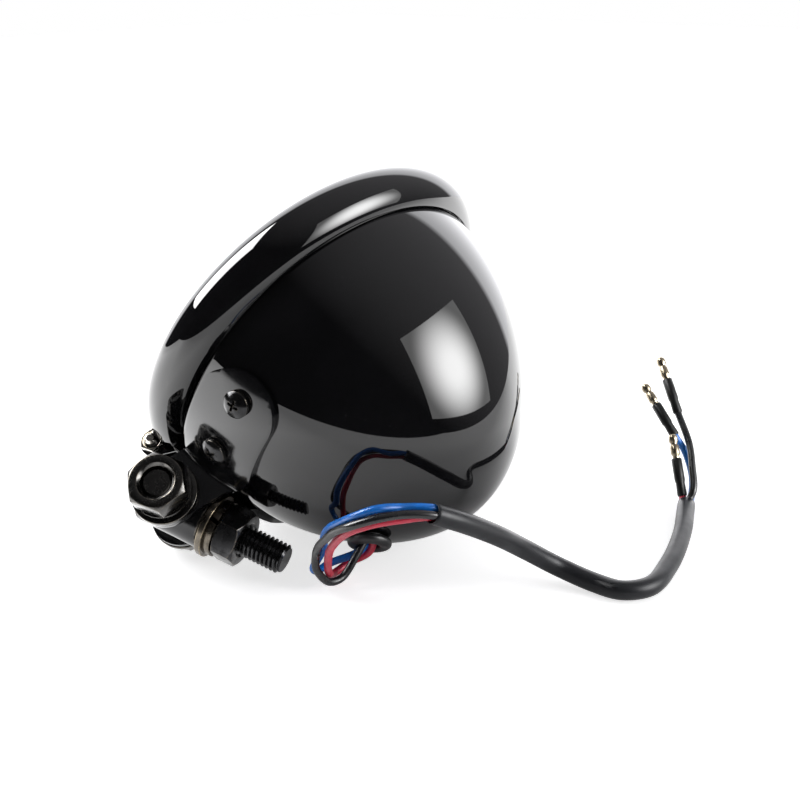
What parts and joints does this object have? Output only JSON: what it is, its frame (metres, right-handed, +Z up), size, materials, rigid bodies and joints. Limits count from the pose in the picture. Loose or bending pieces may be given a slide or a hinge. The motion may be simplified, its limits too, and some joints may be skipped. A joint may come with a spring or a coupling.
{
  "type": "round motorcycle headlight",
  "caption": "Round bullet-shaped motorcycle headlight with a clamped trim ring, a swivelling bottom bracket with threaded stud, and a sleeved lead with bullet terminals.",
  "frame": {"origin": "bottom centre of the lamp without its lead, as it lies on a table", "axes": "+Z up from the table; the lamp lies on the side of its bowl and its cross bolt, with the face turned towards -Y and tipped up 32.7 degrees, and rolled 55.2 degrees on to its own right side; +X is to the left of someone who looks along +Y"},
  "size_m": [0.1879, 0.1631, 0.1238],
  "materials": {
    "black_gloss": "deep gloss black enamel",
    "black_screw": "gloss black plated screw",
    "black_steel": "black oxide",
    "dark_steel": "dark zinc plate",
    "yellow_zinc": "yellowish zinc plate, dull",
    "zinc": "bright zinc plate",
    "lens_glass": "clear fluted glass",
    "bulb_glass": "clear glass",
    "filament": "bare tungsten and steel",
    "mirror": "vacuum-coated reflector",
    "seal_rubber": "matt black rubber",
    "grommet_rubber": "dark grey rubber, slightly shiny",
    "plug_plastic": "matt black nylon",
    "wire_blue": "glossy vinyl insulation",
    "wire_black": "glossy vinyl insulation",
    "wire_red": "glossy vinyl insulation",
    "sleeve_grey": "satin grey-black vinyl tube",
    "insulator_black": "satin vinyl sleeve",
    "brass": "tarnished brass plate"
  },
  "bodies": {
    "lamp": {"shell": "black_gloss", "trim_ring": "black_gloss", "clamp_screw": "zinc", "clamp_nut": "zinc", "lens": "lens_glass", "lens_seal": "seal_rubber", "reflector": "mirror", "bulb_glass": "bulb_glass", "bulb_filaments": "filament", "bulb_base": "zinc", "bulb_contacts": "zinc", "bulb_clip": "zinc", "bulb_boot": "seal_rubber", "bulb_plug": "plug_plastic", "bracket_left": "black_gloss", "bracket_right": "black_gloss", "bracket_screws": "black_screw", "bracket_nuts": "zinc", "cross_bolt": "dark_steel", "cross_washers": "dark_steel", "cross_spring_washer": "dark_steel", "cross_nut": "dark_steel", "grommet": "grommet_rubber", "inner_blue": "wire_blue", "inner_black": "wire_black", "inner_red": "wire_red", "lead_blue": "wire_blue", "lead_black": "wire_black", "lead_red": "wire_red", "sleeve": "sleeve_grey", "tail_blue": "wire_blue", "tail_black": "wire_black", "tail_red": "wire_red", "insulators": "insulator_black", "bullets": "brass"},
    "stud_mount": {"swivel_block": "black_gloss", "stud": "black_steel", "stud_washer": "yellow_zinc", "stud_spring_washer": "yellow_zinc", "stud_nut": "black_steel"}
  },
  "joints": [
    {"name": "bracket_swivel", "type": "hinge", "parent": "lamp", "child": "stud_mount", "pos_m": [0.05284, -0.0238, 0.02044], "axis": [-0.5707, -0.4436, -0.691], "range_deg": [0, 170]}
  ]
}
